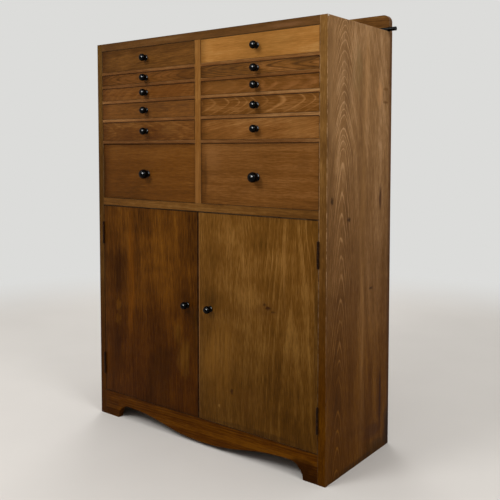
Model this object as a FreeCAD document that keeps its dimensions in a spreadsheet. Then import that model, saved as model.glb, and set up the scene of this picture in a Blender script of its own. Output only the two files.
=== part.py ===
import FreeCAD, Part
import Sketcher
import math
import os
import re
from FreeCAD import Vector

# Drawer cabinet: two columns of six drawers over a two-door cupboard.
# Millimetres, +Z up, front towards -Y. The origin is on the floor, below the
# centre of the whole cabinet with its knobs and the peg on its top.

SIZES = {
    # Case
    "body_width": 936,
    "body_height": 1300,
    "body_depth": 380,
    "side_thick": 25,
    "top_thick": 25,
    "partition_thick": 25,
    "middle_thick": 25,
    "floor_thick": 18,
    "back_thick": 8,
    "back_rebate": 10,
    "housing_depth": 6,
    "housing_stop": 12,
    "edge_round": 1.2,
    # Openings for the drawers, from the top down, and what carries them
    "opening_1": 73.5,
    "opening_2": 35.5,
    "opening_3": 42.5,
    "opening_4": 53.5,
    "opening_5": 63.5,
    "opening_6": 186.5,
    "rail_thick": 10,
    "rail_depth": 45,
    "runner_width": 20,
    "stop_length": 30,
    "stop_depth": 12,
    "stop_height": 3.5,
    # Running gaps
    "seat_gap": 0.3,
    "side_gap": 1.0,
    "top_gap": 1.2,
    "left_deep_setback": 3,
    # Drawers
    "front_thick": 20,
    "drawer_length": 350,
    "drawer_side_thick": 10,
    "drawer_back_thick": 9,
    "drawer_bottom_thick": 5,
    "groove_depth": 5,
    "groove_height": 7,
    "side_drop": 3,
    "dovetail_lap": 6,
    "tail_spacing": 28,
    # Small knobs of drawers and doors
    "small_ball_radius": 11.75,
    "small_reach": 27.5,
    "small_base_radius": 9.5,
    "small_base_lip": 1.5,
    "small_neck_radius": 6,
    # Large knobs of the deep drawers
    "large_ball_radius": 15.5,
    "large_reach": 33.5,
    "large_base_radius": 12.5,
    "large_base_lip": 1.5,
    "large_neck_radius": 9,
    "large_knob_drop": 6,
    "spigot_radius": 4,
    "spigot_length": 12,
    "spigot_gap": 0.1,
    # Doors and their butt hinges
    "door_thick": 20,
    "door_gap": 1.5,
    "meeting_gap": 2,
    "door_knob_inset": 48.5,
    "door_knob_height": 443,
    "hinge_height": 75,
    "hinge_inset": 96,
    "leaf_width": 18,
    "leaf_thick": 1.6,
    "leaf_setback": 0.5,
    "barrel_radius": 3,
    "barrel_gap": 0.3,
    "pin_radius": 1.5,
    "pin_gap": 0.05,
    "pin_head_radius": 2.5,
    "pin_head_height": 1.3,
    "knuckle_gap": 0.3,
    "door_stop_length": 120,
    "door_stop_size": 15,
    # Apron with its two feet
    "apron_height": 86,
    "apron_thick": 20,
    "left_foot": 90,
    "right_foot": 74,
    "arch_rise": 48,
    "centre_rise": 11,
    # Shelf in the cupboard
    "shelf_thick": 18,
    "shelf_setback": 30,
    "shelf_height": 400,
    "shelf_gap": 0.5,
    "batten_size": 15,
    "batten_length": 300,
    # Gallery board on the top and the round peg at its foot
    "gallery_rise": 52,
    "gallery_thick": 19,
    "gallery_radius": 22,
    "peg_radius": 6.25,
    "peg_length": 71,
    "peg_reach": 25,
    "peg_flat": 0.5,
    "peg_gap": 0.3,
}

# Half the height of a dovetail at its wide end and at its root, as shares of
# the height that each tail has
TAIL_END_SHARE = 0.35
TAIL_ROOT_SHARE = 0.28

# Counts, and how near two places must be to be one
KNUCKLES = 5
CASE_KNUCKLES = 3
DRAWER_ROWS = 6
SAME_PLACE = 1e-4

# How a sketch names its own origin, and the centre of a circle
SKETCH_ORIGIN = (-1, 1)
CENTRE = 3

# Places that many pieces share, as formulas of the sizes
MIDDLE = "(-peg_reach / 2)"
FRONT = "((large_reach - body_depth) / 2)"
BACK = f"({FRONT} + body_depth)"
LEFT = f"({MIDDLE} - body_width / 2)"
RIGHT = f"({MIDDLE} + body_width / 2)"
INNER_LEFT = f"({LEFT} + side_thick)"
INNER_RIGHT = f"({RIGHT} - side_thick)"
INNER_BACK = f"({BACK} - back_thick)"
TOP_UNDERSIDE = "(body_height - top_thick)"
COLUMN_WIDTH = "((body_width - 2 * side_thick - partition_thick) / 2)"
ALL_OPENINGS = " + ".join(f"opening_{row}" for row in range(1, DRAWER_ROWS + 1))
MIDDLE_TOP = f"({TOP_UNDERSIDE} - ({ALL_OPENINGS}) - {DRAWER_ROWS - 1} * rail_thick)"
MIDDLE_UNDERSIDE = f"({MIDDLE_TOP} - middle_thick)"
DOOR_TOP = f"({MIDDLE_UNDERSIDE} - door_gap)"
DOOR_BOTTOM = "(apron_height + door_gap)"
HINGE_AXIS_Y = f"({FRONT} - barrel_radius - barrel_gap)"
COLUMNS = {
    "left": (INNER_LEFT, f"({INNER_LEFT} + {COLUMN_WIDTH})"),
    "right": (f"({INNER_RIGHT} - {COLUMN_WIDTH})", INNER_RIGHT),
}

doc = FreeCAD.newDocument("DrawerCabinet")
sheet = doc.addObject("Spreadsheet::Sheet", "Sizes")
for row, (alias, size) in enumerate(SIZES.items(), start=1):
    sheet.set(f"A{row}", alias)
    sheet.set(f"B{row}", str(size))
    sheet.setAlias(f"B{row}", alias)
doc.recompute()

nodes = []


def bound(formula):
    """The formula with every size's name written as a cell of the sheet."""
    return re.sub(r"\b[a-z]+_\w+\b", lambda word: f"Sizes.{word.group(0)}", str(formula))


def value(formula):
    """What a formula of the sizes comes to."""
    return float(sheet.evalExpression(bound(formula)))


def keep(piece, label):
    """Make a piece a node of the cabinet, exported under its label."""
    piece.Label = label
    nodes.append(piece)
    return piece


# Simple solids and what is done with them

def block(name, x_span, y_span, z_span):
    """A rectangular board between pairs of formulas."""
    board = doc.addObject("Part::Box", name)
    spans = zip(("Length", "Width", "Height"), "xyz", (x_span, y_span, z_span))
    for size, axis, (low, high) in spans:
        board.setExpression(size, bound(f"({high}) - ({low})"))
        board.setExpression(f"Placement.Base.{axis}", bound(low))
    return board


def group(name, solids):
    """Separate solids kept together as one piece."""
    together = doc.addObject("Part::Compound", name)
    together.Links = solids
    return together


def cut(name, base, tools):
    """The base with the room that the tools take in it."""
    result = doc.addObject("Part::Cut", name)
    result.Base = base
    result.Tool = tools[0] if len(tools) == 1 else group(f"{name}_room", tools)
    return result


def moved(part_object, x, y, z):
    """Put an object at a place given by three formulas."""
    for axis, place in zip("xyz", (x, y, z)):
        part_object.setExpression(f"Placement.Base.{axis}", bound(place))
    return part_object


# Sketches and the bodies made from them

def new_body(name):
    return doc.addObject("PartDesign::Body", name)


def sketch_on(body, plane, offset="0"):
    """An empty sketch on one of the body's own planes, moved along its normal."""
    sketch = body.newObject("Sketcher::SketchObject", f"{body.Name}_sketch")
    support = [item for item in body.Origin.OriginFeatures if item.Role == plane][0]
    sketch.AttachmentSupport = [(support, "")]
    sketch.MapMode = "FlatFace"
    sketch.setExpression("AttachmentOffset.Base.z", bound(offset))
    return sketch


def apply_constraints(sketch, constraints):
    """Add constraints, given with the formula each follows, in one go."""
    made = []
    for kind, where, formula in constraints:
        size = [] if formula is None else [value(formula)]
        made.append(Sketcher.Constraint(kind, *where, *size))
    for number, (kind, where, formula) in zip(sketch.addConstraint(made), constraints):
        if formula is not None:
            sketch.setExpression(f"Constraints[{number}]", bound(formula))


def tie_point(edge, end, point):
    """Constraints from the sketch's origin to an end of an edge."""
    x, y = point
    return [
        ("DistanceX", (*SKETCH_ORIGIN, edge, end), x),
        ("DistanceY", (*SKETCH_ORIGIN, edge, end), y),
    ]


def arc_through(start, finish, radius, turn):
    """The shorter arc from start to finish, left (1) or right (-1) of its way."""
    chord = finish - start
    left = Vector(-chord.y, chord.x, 0) / chord.Length
    rise = math.sqrt(max(radius ** 2 - (chord.Length / 2) ** 2, 0))
    centre = start + chord / 2 + left * (turn * rise)
    first, last = (start, finish) if turn > 0 else (finish, start)
    angles = [math.atan2(end.y - centre.y, end.x - centre.x) for end in (first, last)]
    return Part.ArcOfCircle(Part.Circle(centre, Vector(0, 0, 1), radius), *angles)


def outline(sketch, corners, arcs=None):
    """A closed outline through the corners, which are pairs of formulas.

    arcs gives, for the number of the corner an arc starts from, the arc's
    radius and whether it turns left (1) or right (-1) on its way.
    """
    arcs = arcs or {}
    places = [Vector(value(x), value(y), 0) for x, y in corners]
    edges = []
    ends = []
    for number, start in enumerate(places):
        finish = places[(number + 1) % len(places)]
        radius, turn = arcs.get(number, (None, 1))
        straight = radius is None
        edge = Part.LineSegment(start, finish) if straight else arc_through(
            start, finish, value(radius), turn)
        edges.append(edge)
        ends.append((1, 2) if turn > 0 else (2, 1))
    sketch.addGeometry(edges)
    constraints = []
    for number, corner in enumerate(corners):
        before = (number - 1) % len(corners)
        joint = (before, ends[before][1], number, ends[number][0])
        constraints.append(("Coincident", joint, None))
        constraints += tie_point(number, ends[number][0], corner)
    for number, (radius, turn) in arcs.items():
        constraints.append(("Radius", (number,), radius))
    apply_constraints(sketch, constraints)


def ring(sketch, centre, radii):
    """Concentric circles about a centre given by two formulas."""
    constraints = []
    place = Vector(value(centre[0]), value(centre[1]), 0)
    for radius in radii:
        edge = sketch.addGeometry(Part.Circle(place, Vector(0, 0, 1), value(radius)))
        constraints += tie_point(edge, CENTRE, centre)
        constraints.append(("Radius", (edge,), radius))
    apply_constraints(sketch, constraints)


def pad(body, sketch, length):
    feature = body.newObject("PartDesign::Pad", f"{sketch.Name}_pad")
    feature.Profile = sketch
    feature.setExpression("Length", bound(length))
    return feature


def profile_board(name, plane, span, corners, arcs=None):
    """A body with the outline in the plane, filling a span across it.

    The normal of the XZ plane points to -Y, so there the pad starts at the
    far end of the span.
    """
    low, high = span
    body = new_body(name)
    offset = f"-({high})" if plane == "XZ_Plane" else low
    sketch = sketch_on(body, plane, offset)
    outline(sketch, corners, arcs)
    pad(body, sketch, f"({high}) - ({low})")
    return body


def edges_where(shape, chosen):
    """Names of the edges whose ends all pass a test."""
    names = []
    for number, edge in enumerate(shape.Edges, start=1):
        if all(chosen(vertex.Point) for vertex in edge.Vertexes):
            names.append(f"Edge{number}")
    return names


def round_edges(body, chosen, radius="edge_round"):
    """Round the edges of a body whose ends pass a test."""
    doc.recompute()
    base = body.Tip
    fillet = body.newObject("PartDesign::Fillet", f"{body.Name}_round")
    fillet.Base = (base, edges_where(base.Shape, chosen))
    fillet.setExpression("Radius", bound(radius))
    return body


def near(first, second):
    return abs(first - second) < SAME_PLACE


def on_front(point):
    return near(point.y, value(FRONT))


# The case

def housed_board(name, x_span, z_span, y_end=INNER_BACK):
    """A board whose ends enter stopped housings, with its front corners notched."""
    left, right = x_span
    stop = f"{FRONT} + housing_stop"
    corners = [
        (left, FRONT),
        (right, FRONT),
        (right, stop),
        (f"{right} + housing_depth", stop),
        (f"{right} + housing_depth", y_end),
        (f"{left} - housing_depth", y_end),
        (f"{left} - housing_depth", stop),
        (left, stop),
    ]
    return profile_board(name, "XY_Plane", z_span, corners)


def opening_top(row):
    """The height of the upper edge of a row's opening."""
    above = "".join(f" - opening_{upper} - rail_thick" for upper in range(1, row))
    return f"({TOP_UNDERSIDE}{above})"


def opening_floor(row):
    return f"({opening_top(row)} - opening_{row})"


def drawer_face(side, row):
    """The plane of a drawer's front, which only the left deep drawer has set back."""
    if side == "left" and row == DRAWER_ROWS:
        return f"({FRONT} + left_deep_setback)"
    return FRONT


def make_rails():
    """A front rail below each drawer but the lowest, in both columns."""
    rails = []
    for side, span in COLUMNS.items():
        for row in range(1, DRAWER_ROWS):
            top = opening_floor(row)
            level = (f"{top} - rail_thick", top)
            end = f"{FRONT} + rail_depth"
            rails.append(housed_board(f"{side}_rail_{row}", span, level, end))
    return rails


def make_runners():
    """Two runners behind each rail, let into the side and the partition."""
    runners = []
    run = (f"{FRONT} + rail_depth", INNER_BACK)
    for side, (left, right) in COLUMNS.items():
        ends = {
            "outer": (f"{left} - housing_depth", f"{left} + runner_width"),
            "inner": (f"{right} - runner_width", f"{right} + housing_depth"),
        }
        for row in range(1, DRAWER_ROWS):
            top = opening_floor(row)
            level = (f"{top} - rail_thick", top)
            for end, span in ends.items():
                runners.append(block(f"{side}_{end}_runner_{row}", span, run, level))
    return runners


def make_stops():
    """A block behind each drawer front, which the closed drawer meets."""
    stops = []
    for side, (left, right) in COLUMNS.items():
        centre = f"({left} + {right}) / 2"
        for row in range(1, DRAWER_ROWS + 1):
            floor = opening_floor(row)
            near_face = f"{drawer_face(side, row)} + front_thick + seat_gap"
            stops.append(block(
                f"{side}_stop_{row}",
                (f"{centre} - stop_length / 2", f"{centre} + stop_length / 2"),
                (near_face, f"{near_face} + stop_depth"),
                (floor, f"{floor} + stop_height"),
            ))
    return stops


def make_back_panel():
    return block(
        "back_board",
        (f"{INNER_LEFT} - back_rebate", f"{INNER_RIGHT} + back_rebate"),
        (INNER_BACK, BACK),
        ("apron_height - floor_thick", f"{TOP_UNDERSIDE} + back_rebate"),
    )


def make_partition():
    """The upright between the columns, tongued into the boards above and below."""
    left = COLUMNS["left"][1]
    right = COLUMNS["right"][0]
    stop = f"{FRONT} + housing_stop"
    low = f"{MIDDLE_TOP} - housing_depth"
    high = f"{TOP_UNDERSIDE} + housing_depth"
    corners = [
        (FRONT, MIDDLE_TOP),
        (stop, MIDDLE_TOP),
        (stop, low),
        (INNER_BACK, low),
        (INNER_BACK, high),
        (stop, high),
        (stop, TOP_UNDERSIDE),
        (FRONT, TOP_UNDERSIDE),
    ]
    return profile_board("partition_board", "YZ_Plane", (left, right), corners)


def make_side(side, x_span, housed):
    """An upright side with the room for all that is let into it."""
    corners = [(FRONT, "0"), (BACK, "0"), (BACK, "body_height"), (FRONT, "body_height")]
    board = profile_board(f"{side}_side_board", "YZ_Plane", x_span, corners)
    outer = value(LEFT if side == "left" else RIGHT)
    round_edges(board, lambda point: near(point.x, outer) and (
        on_front(point) or near(point.z, value("body_height"))))
    return cut(f"{side}_side", board, housed)


def make_apron():
    """The front apron: a foot at each end and two shallow arches between them."""
    left_spring = f"{LEFT} + left_foot + arch_rise"
    right_spring = f"{RIGHT} - right_foot - arch_rise"
    quarter = f"((({right_spring}) - ({left_spring})) / 4)"
    half_rise = "((arch_rise - centre_rise) / 2)"
    sweep = f"({quarter} ^ 2 + {half_rise} ^ 2) / (2 * {half_rise})"
    corners = [
        (INNER_LEFT, "0"),
        (f"{LEFT} + left_foot", "0"),
        (left_spring, "arch_rise"),
        (f"{left_spring} + {quarter}", f"centre_rise + {half_rise}"),
        (f"{right_spring} - {quarter}", f"centre_rise + {half_rise}"),
        (right_spring, "arch_rise"),
        (f"{RIGHT} - right_foot", "0"),
        (INNER_RIGHT, "0"),
        (INNER_RIGHT, "apron_height"),
        (INNER_LEFT, "apron_height"),
    ]
    arcs = {1: ("arch_rise", -1), 2: (sweep, -1), 3: (sweep, 1), 4: (sweep, -1), 5: ("arch_rise", -1)}
    span = (FRONT, f"{FRONT} + apron_thick")
    return profile_board("front_apron", "XZ_Plane", span, corners, arcs)


def make_gallery():
    """The low board along the back of the top, with its upper corners rounded."""
    shoulder = "body_height + gallery_rise - gallery_radius"
    rise = "body_height + gallery_rise"
    corners = [
        (LEFT, "body_height"),
        (RIGHT, "body_height"),
        (RIGHT, shoulder),
        (f"{RIGHT} - gallery_radius", rise),
        (f"{LEFT} + gallery_radius", rise),
        (LEFT, shoulder),
    ]
    arcs = {2: ("gallery_radius", 1), 4: ("gallery_radius", 1)}
    span = (f"{BACK} - gallery_thick", BACK)
    board = profile_board("gallery_board", "XZ_Plane", span, corners, arcs)
    low = value("body_height")
    return round_edges(board, lambda point: point.z > low + SAME_PLACE)


def make_peg():
    """A round peg that lies at the foot of the gallery, on a narrow flat."""
    body = new_body("gallery_peg")
    end = f"{RIGHT} + peg_reach"
    sketch = sketch_on(body, "YZ_Plane", f"{end} - peg_length")
    centre_y = f"{BACK} - gallery_thick - peg_gap - peg_radius"
    centre_z = "body_height + peg_radius - peg_flat"
    half_flat = "sqrt(peg_radius ^ 2 - (peg_radius - peg_flat) ^ 2)"
    corners = [
        (f"{centre_y} + {half_flat}", "body_height"),
        (centre_y, f"{centre_z} + peg_radius"),
        (f"{centre_y} - {half_flat}", "body_height"),
    ]
    outline(sketch, corners, {0: ("peg_radius", 1), 1: ("peg_radius", 1)})
    pad(body, sketch, "peg_length")
    return body


def make_shelf():
    """The cupboard's loose shelf on its two battens."""
    run = (f"{FRONT} + door_thick + shelf_setback", INNER_BACK)
    shelf = block(
        "cupboard_shelf",
        (f"{INNER_LEFT} + shelf_gap", f"{INNER_RIGHT} - shelf_gap"),
        (run[0], f"{run[1]} - shelf_gap"),
        ("shelf_height - shelf_thick", "shelf_height"),
    )
    along = (f"{INNER_BACK} - batten_length", INNER_BACK)
    below = ("shelf_height - shelf_thick - batten_size", "shelf_height - shelf_thick")
    spans = {
        "left": (INNER_LEFT, f"{INNER_LEFT} + batten_size"),
        "right": (f"{INNER_RIGHT} - batten_size", INNER_RIGHT),
    }
    battens = [block(f"{side}_batten", span, along, below) for side, span in spans.items()]
    return shelf, battens


def make_door_stop():
    face = f"{FRONT} + door_thick + seat_gap"
    return block(
        "door_stop",
        (f"{MIDDLE} - door_stop_length / 2", f"{MIDDLE} + door_stop_length / 2"),
        (face, f"{face} + door_stop_size"),
        (f"{MIDDLE_UNDERSIDE} - door_stop_size", MIDDLE_UNDERSIDE),
    )


# Knobs

def make_knob(name, kind, x, face, z):
    """A turned knob on a glued spigot: a lipped base, a hollow neck and a ball."""
    ball = f"{kind}_ball_radius"
    neck = f"{kind}_neck_radius"
    base = f"{kind}_base_radius"
    lip = f"{kind}_base_lip"
    centre = f"({kind}_reach - {ball})"
    join = f"({centre} - sqrt({ball} ^ 2 - {neck} ^ 2))"
    flare = f"({base} - {neck})"
    hollow = f"({flare} ^ 2 + ({join} - {lip}) ^ 2) / (2 * {flare})"
    body = new_body(name)
    sketch = sketch_on(body, "XY_Plane")
    corners = [
        ("0", "spigot_length"),
        ("0", f"-{kind}_reach"),
        (ball, f"-{centre}"),
        (neck, f"-{join}"),
        (base, f"-{lip}"),
        (base, "0"),
        ("spigot_radius", "0"),
        ("spigot_radius", "spigot_length"),
    ]
    outline(sketch, corners, {1: (ball, 1), 2: (ball, 1), 3: (hollow, -1)})
    turned = body.newObject("PartDesign::Revolution", f"{name}_turned")
    turned.Profile = sketch
    turned.ReferenceAxis = (sketch, ["V_Axis"])
    turned.Angle = 360
    return moved(body, x, face, z)


def spigot_hole(name, x, face, z):
    """The room for a knob's spigot, bored from the front."""
    hole = doc.addObject("Part::Cylinder", name)
    hole.setExpression("Radius", bound("spigot_radius + spigot_gap"))
    hole.setExpression("Height", bound("spigot_length + spigot_gap"))
    hole.Placement.Rotation = FreeCAD.Rotation(Vector(1, 0, 0), -90)
    return moved(hole, x, face, z)


# Drawers

def tail_outline(root, end, low, high, count):
    """Corners of a run of dovetails, from the top one down.

    root and end are the places of their narrow and their wide ends, and low
    to high is the height that they share.
    """
    pitch = f"((({high}) - ({low})) / {count})"
    corners = []
    for tail in range(count):
        centre = f"{high} - {2 * tail + 1} * {pitch} / 2"
        corners.append((root, f"{centre} + {TAIL_ROOT_SHARE} * {pitch}"))
        corners.append((end, f"{centre} + {TAIL_END_SHARE} * {pitch}"))
        corners.append((end, f"{centre} - {TAIL_END_SHARE} * {pitch}"))
        corners.append((root, f"{centre} - {TAIL_ROOT_SHARE} * {pitch}"))
    return corners


def tail_count(height):
    return max(1, round(value(height) / value("tail_spacing")))


def make_drawer_side(name, x_span, face, floor, top, bottom_panel):
    """A drawer side with dovetails into the front and the back, and a groove."""
    front_root = f"{face} + front_thick"
    front_end = f"{face} + dovetail_lap"
    back_end = f"{face} + drawer_length"
    back_root = f"{back_end} - drawer_back_thick"
    panel_top = f"{floor} + groove_height + drawer_bottom_thick"
    front_count = tail_count(f"({top}) - ({floor})")
    back_count = tail_count(f"({top}) - ({panel_top})")
    front_tails = tail_outline(front_root, front_end, floor, top, front_count)
    back_tails = tail_outline(back_root, back_end, panel_top, top, back_count)
    corners = [(front_root, top)] + front_tails + [(front_root, floor)]
    corners += [(back_end, floor), (back_end, panel_top), (back_root, panel_top)]
    corners += list(reversed(back_tails)) + [(back_root, top)]
    board = profile_board(f"{name}_board", "YZ_Plane", x_span, corners)
    return cut(name, board, [bottom_panel])


def make_drawer(side, row):
    """A drawer's front, its box of four boards, and its knob."""
    name = f"{side}_drawer_{row}"
    kind = "large" if row == DRAWER_ROWS else "small"
    left = f"({COLUMNS[side][0]} + side_gap)"
    right = f"({COLUMNS[side][1]} - side_gap)"
    floor = f"({opening_floor(row)} + seat_gap)"
    front_top = f"({opening_top(row)} - top_gap)"
    side_top = f"({front_top} - side_drop)"
    panel_floor = f"({floor} + groove_height)"
    panel_top = f"({panel_floor} + drawer_bottom_thick)"
    inner_left = f"({left} + drawer_side_thick)"
    inner_right = f"({right} - drawer_side_thick)"
    face = drawer_face(side, row)
    end = f"({face} + drawer_length)"
    bottom = block(
        f"{name}_bottom",
        (f"{inner_left} - groove_depth", f"{inner_right} + groove_depth"),
        (f"{face} + front_thick - groove_depth", end),
        (panel_floor, panel_top),
    )
    side_spans = {"left": (left, inner_left), "right": (inner_right, right)}
    sides = [
        make_drawer_side(f"{name}_{hand}_side", span, face, floor, side_top, bottom)
        for hand, span in side_spans.items()
    ]
    back_board = block(
        f"{name}_back_board",
        (left, right),
        (f"{end} - drawer_back_thick", end),
        (panel_top, side_top),
    )
    back = cut(f"{name}_back", back_board, sides)
    box = group(f"{name}_box", sides + [back, bottom])

    drop = "large_knob_drop" if kind == "large" else "0"
    knob_x = f"({left} + {right}) / 2"
    knob_z = f"({floor} + {front_top}) / 2 - {drop}"
    corners = [(left, floor), (right, floor), (right, front_top), (left, front_top)]
    depth = (face, f"{face} + front_thick")
    front_board = profile_board(f"{name}_front_board", "XZ_Plane", depth, corners)
    face_place = value(face)
    round_edges(front_board, lambda point: near(point.y, face_place))
    hole = spigot_hole(f"{name}_knob_hole", knob_x, face, knob_z)
    front = cut(f"{name}_front", front_board, [box, hole])
    knob = make_knob(f"{name}_knob", kind, knob_x, face, knob_z)
    keep(front, f"{name}_front")
    keep(box, f"{name}_box")
    keep(knob, f"{name}_knob")


# Hinges and doors

KNUCKLE_LENGTH = f"((hinge_height - {KNUCKLES - 1} * knuckle_gap) / {KNUCKLES})"
KNUCKLE_STEP = f"({KNUCKLE_LENGTH} + knuckle_gap)"
HINGE_LEVELS = {
    "lower": f"({DOOR_BOTTOM} + hinge_inset - hinge_height / 2)",
    "upper": f"({DOOR_TOP} - hinge_inset - hinge_height / 2)",
}
HINGE_AXIS_X = {
    "left": f"({INNER_LEFT} + door_gap / 2)",
    "right": f"({INNER_RIGHT} - door_gap / 2)",
}


def make_leaf(name, axis_x, outward, low, first, count):
    """One leaf of a butt hinge: a plate and its own knuckles.

    outward is the side of the pin that the plate lies on, 1 or -1, first the
    number of its lowest knuckle and count how many knuckles it has.
    """
    body = new_body(name)
    face = f"{axis_x} + {outward} * door_gap / 2"
    far_face = f"{face} + {outward} * leaf_thick"
    plate_start = f"{FRONT} + leaf_setback"
    plate = sketch_on(body, "XY_Plane", low)
    outline(plate, [
        (face, plate_start),
        (far_face, plate_start),
        (far_face, f"{FRONT} + leaf_width"),
        (face, f"{FRONT} + leaf_width"),
    ])
    pad(body, plate, "hinge_height")

    knuckle_low = f"{low} + {first} * {KNUCKLE_STEP}"
    neck_start = f"{HINGE_AXIS_Y} + (pin_radius + pin_gap + barrel_radius) / 2"
    neck = sketch_on(body, "XY_Plane", knuckle_low)
    outline(neck, [
        (face, neck_start),
        (far_face, neck_start),
        (far_face, plate_start),
        (face, plate_start),
    ])
    neck_pad = pad(body, neck, KNUCKLE_LENGTH)
    barrel = sketch_on(body, "XY_Plane", knuckle_low)
    ring(barrel, (axis_x, HINGE_AXIS_Y), ("barrel_radius", "pin_radius + pin_gap"))
    barrel_pad = pad(body, barrel, KNUCKLE_LENGTH)

    knuckles = body.newObject("PartDesign::LinearPattern", f"{name}_knuckles")
    knuckles.Originals = [neck_pad, barrel_pad]
    knuckles.Direction = (barrel, ["N_Axis"])
    knuckles.setExpression("Length", bound(f"{2 * (count - 1)} * {KNUCKLE_STEP}"))
    knuckles.Occurrences = count
    body.Tip = knuckles
    return body


def make_pin(name, axis_x, low):
    """A hinge pin with a low button on each end."""
    body = new_body(name)
    sketch = sketch_on(body, "XZ_Plane")
    high = "hinge_height"
    corners = [
        ("0", "-pin_head_height"),
        ("pin_head_radius", "-knuckle_gap"),
        ("pin_radius", "-knuckle_gap"),
        ("pin_radius", f"{high} + knuckle_gap"),
        ("pin_head_radius", f"{high} + knuckle_gap"),
        ("0", f"{high} + pin_head_height"),
    ]
    rise = "(pin_head_height - knuckle_gap)"
    dome = f"(pin_head_radius ^ 2 + {rise} ^ 2) / (2 * {rise})"
    outline(sketch, corners, {0: (dome, 1), 4: (dome, 1)})
    turned = body.newObject("PartDesign::Revolution", f"{name}_turned")
    turned.Profile = sketch
    turned.ReferenceAxis = (sketch, ["V_Axis"])
    turned.Angle = 360
    return moved(body, axis_x, HINGE_AXIS_Y, low)


def make_hinges():
    """Two butt hinges for each door: leaves on the case, leaves on the doors, pins."""
    case_leaves = {}
    door_leaves = {}
    pins = []
    for side, axis_x in HINGE_AXIS_X.items():
        outward = -1 if side == "left" else 1
        case_leaves[side] = []
        door_leaves[side] = []
        for level, low in HINGE_LEVELS.items():
            name = f"{side}_{level}"
            case_leaves[side].append(make_leaf(
                f"{name}_case_leaf", axis_x, outward, low, 0, CASE_KNUCKLES))
            door_leaves[side].append(make_leaf(
                f"{name}_door_leaf", axis_x, -outward, low, 1, KNUCKLES - CASE_KNUCKLES))
            pins.append(make_pin(f"{name}_pin", axis_x, low))
    return case_leaves, door_leaves, pins


def make_door(side, leaves):
    """A flush door with the room for its hinge leaves and its knob."""
    if side == "left":
        x_span = (f"{INNER_LEFT} + door_gap", f"{MIDDLE} - meeting_gap / 2")
        knob_x = f"{MIDDLE} - door_knob_inset"
    else:
        x_span = (f"{MIDDLE} + meeting_gap / 2", f"{INNER_RIGHT} - door_gap")
        knob_x = f"{MIDDLE} + door_knob_inset"
    left, right = x_span
    corners = [(left, DOOR_BOTTOM), (right, DOOR_BOTTOM), (right, DOOR_TOP), (left, DOOR_TOP)]
    depth = (FRONT, f"{FRONT} + door_thick")
    board = profile_board(f"{side}_door_board", "XZ_Plane", depth, corners)
    round_edges(board, on_front)
    hole = spigot_hole(f"{side}_door_knob_hole", knob_x, FRONT, "door_knob_height")
    door = cut(f"{side}_door", board, leaves + [hole])
    knob = make_knob(f"{side}_door_knob", "small", knob_x, FRONT, "door_knob_height")
    keep(door, f"{side}_door")
    keep(group(f"{side}_door_leaves", leaves), f"{side}_door_hinge_leaves")
    keep(knob, f"{side}_door_knob")


# Build the case, then what moves in it

rails = make_rails()
runners = make_runners()
back_panel = make_back_panel()
partition_board = make_partition()
inner_span = (INNER_LEFT, INNER_RIGHT)
top = housed_board("top", inner_span, (TOP_UNDERSIDE, "body_height"), BACK)
middle = housed_board("middle", inner_span, (MIDDLE_UNDERSIDE, MIDDLE_TOP))
cupboard_floor = block(
    "cupboard_floor",
    (f"{INNER_LEFT} - housing_depth", f"{INNER_RIGHT} + housing_depth"),
    (f"{FRONT} + apron_thick", INNER_BACK),
    ("apron_height - floor_thick", "apron_height"),
)
shelf, battens = make_shelf()
case_leaves, door_leaves, pins = make_hinges()

for side, x_span in (("left", (LEFT, INNER_LEFT)), ("right", (INNER_RIGHT, RIGHT))):
    side_rails = [rail for rail in rails if rail.Name.startswith(side)]
    side_runners = [runner for runner in runners if runner.Name.startswith(side)]
    housed = side_rails + side_runners + case_leaves[side]
    housed += [top, middle, cupboard_floor, back_panel]
    keep(make_side(side, x_span, housed), f"side_{side}")
keep(cut("top_cut", top, [partition_board, back_panel]), "top_board")
keep(make_gallery(), "gallery_board")
keep(cut("partition", partition_board, rails + runners), "centre_partition")
keep(cut("middle_cut", middle, [partition_board]), "middle_board")
keep(cupboard_floor, "cupboard_floor")
keep(back_panel, "back_panel")
keep(make_apron(), "front_apron")
keep(shelf, "cupboard_shelf")
keep(group("battens", battens), "shelf_battens")
keep(group("rails", rails), "drawer_rails")
keep(group("runners", runners), "drawer_runners")
keep(group("stops", make_stops()), "drawer_stops")
keep(make_door_stop(), "door_stop")
keep(make_peg(), "gallery_peg")
keep(group("case_leaves", case_leaves["left"] + case_leaves["right"]), "case_hinge_leaves")
keep(group("pins", pins), "hinge_pins")
for side in COLUMNS:
    for row in range(1, DRAWER_ROWS + 1):
        make_drawer(side, row)
    make_door(side, door_leaves[side])

# Check every object, then write each sub-part to its own file

doc.recompute()
faults = [item.Name for item in doc.Objects if {"Invalid", "Error"} & set(item.State)]
if faults:
    raise RuntimeError(f"objects that failed: {faults}")
for node in nodes:
    if node.Shape.isNull() or not node.Shape.isValid() or not node.Shape.Solids:
        raise RuntimeError(f"{node.Label} has no sound shape")

os.makedirs("parts", exist_ok=True)
for node in nodes:
    node.Shape.exportStep(f"parts/{node.Label}.step")
print(len(nodes), "sub-parts,", sum(len(node.Shape.Solids) for node in nodes), "solids")
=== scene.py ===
import math

import bmesh
import bpy
from mathutils import Color, Matrix, Vector


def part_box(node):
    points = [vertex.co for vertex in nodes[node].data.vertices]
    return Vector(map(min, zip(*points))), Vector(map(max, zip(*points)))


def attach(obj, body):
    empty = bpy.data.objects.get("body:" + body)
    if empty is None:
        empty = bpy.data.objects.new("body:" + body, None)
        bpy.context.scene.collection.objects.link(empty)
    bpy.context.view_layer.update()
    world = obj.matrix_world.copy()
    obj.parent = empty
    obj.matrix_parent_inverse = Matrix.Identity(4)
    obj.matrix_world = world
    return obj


# The drawer cabinet's looks: timber, black lacquer and dark steel on the packed
# solids, a pale floor, soft light and the photograph's camera. Metres.

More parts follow.
